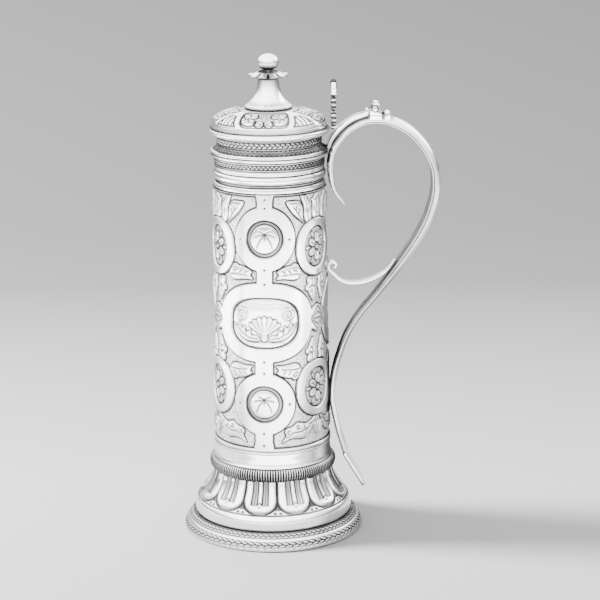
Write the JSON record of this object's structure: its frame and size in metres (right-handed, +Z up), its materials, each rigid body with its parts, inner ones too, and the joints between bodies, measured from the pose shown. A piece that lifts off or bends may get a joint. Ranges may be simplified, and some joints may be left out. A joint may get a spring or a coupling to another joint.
{
  "type": "tankard",
  "caption": "Tall silver tankard with a chased cylindrical drum, lobed foot, hinged domed lid with ball finial and thumbpiece, and a long scrolled strap handle",
  "frame": {"origin": "Centre of the bounding box on the table, so the vessel's own axis lies at negative X", "axes": "+X points from the vessel to the handle, +Z is up, and Y runs along the hinge pin"},
  "size_m": [0.172, 0.12, 0.3203],
  "materials": {
    "silver_polished": "polished",
    "silver_chased": "chased, with a matted ground",
    "silver_plain": "plain"
  },
  "bodies": {
    "vessel": {"foot_flange": "silver_chased", "foot_torus": "silver_polished", "foot_bell": "silver_polished", "reeded_collar": "silver_polished", "drum_foot_band": "silver_polished", "vessel_base": "silver_plain", "drum": "silver_chased", "rim_moulding": "silver_polished", "rim_frieze_band": "silver_chased", "rim_lip": "silver_polished", "handle_outer_strap": "silver_polished", "handle_inner_strip": "silver_polished", "handle_scroll": "silver_polished", "handle_tail_shield": "silver_polished", "hinge_block": "silver_polished", "hinge_pin": "silver_plain"},
    "lid": {"lid_bezel": "silver_plain", "lid_base_flange": "silver_chased", "lid_frieze_band": "silver_chased", "lid_rim": "silver_polished", "lid_dome": "silver_chased", "finial_pedestal": "silver_polished", "finial_calyx": "silver_polished", "finial_ball": "silver_polished", "finial_stud": "silver_plain", "finial_nut": "silver_plain", "hinge_arm": "silver_polished", "thumbpiece": "silver_polished"}
  },
  "joints": [
    {"name": "lid_hinge", "type": "hinge", "parent": "vessel", "child": "lid", "pos_m": [0.04285, 0, 0.2845], "axis": [0, 1, 0], "range_deg": [0, 100]}
  ]
}
